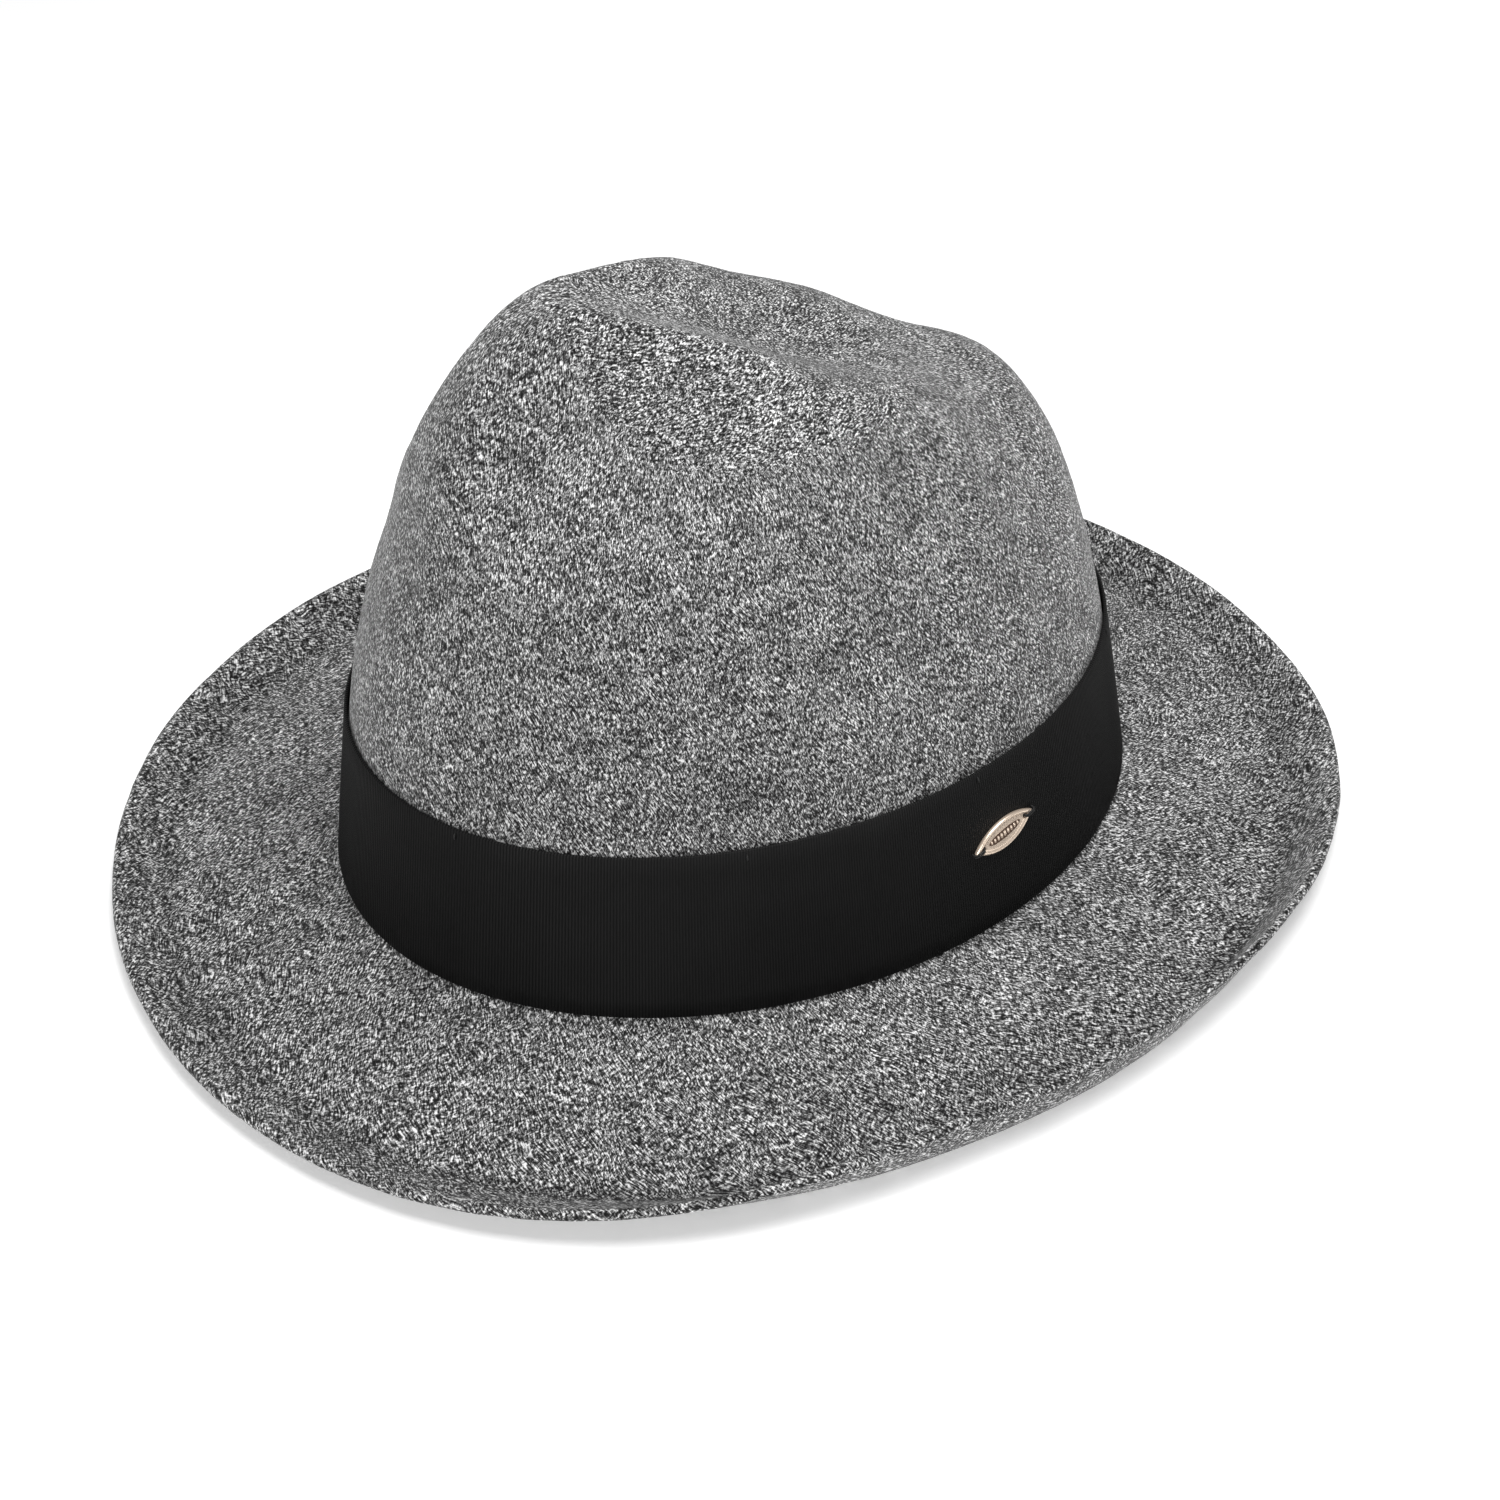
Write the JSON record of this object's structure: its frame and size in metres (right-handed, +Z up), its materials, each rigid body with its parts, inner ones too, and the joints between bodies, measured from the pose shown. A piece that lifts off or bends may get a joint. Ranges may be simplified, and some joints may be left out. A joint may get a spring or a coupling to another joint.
{
  "type": "fedora hat",
  "caption": "Heathered grey wool felt fedora: creased teardrop crown with pinched front, brim with upturned edge, wide black ribbed ribbon, small gold badge and inner sweatband.",
  "frame": {"origin": "bottom centre of the bounding box: the level surface that the fold of the brim rests on, below the middle of the head oval", "axes": "+Z up; the front of the hat points to -Y, the back to +Y, and the wearer's left side, with the badge, to +X"},
  "size_m": [0.2672, 0.3137, 0.1662],
  "materials": {
    "felt": "heathered brushed wool felt",
    "grosgrain": "fine ribbed matte ribbon",
    "thread": "twisted sewing thread",
    "badge_metal": "polished pale gold",
    "sweatband_cloth": "fine ribbed cotton ribbon",
    "reed_piping": "satin piping over a plastic reed",
    "bow_ribbon": "satin ribbon",
    "label_cloth": "woven satin, blank"
  },
  "bodies": {
    "root": {"felt_body": "felt", "ribbon_band": "grosgrain", "ribbon_join_tab": "grosgrain", "ribbon_tacks": "thread", "badge_plate": "badge_metal", "badge_thread_front": "thread", "badge_thread_back": "thread", "sweatband": "sweatband_cloth", "sweatband_reed": "reed_piping", "sweatband_stitches": "thread", "sweatband_bow": "bow_ribbon", "size_label": "label_cloth", "care_label": "label_cloth", "label_stitches": "thread"}
  },
  "joints": []
}
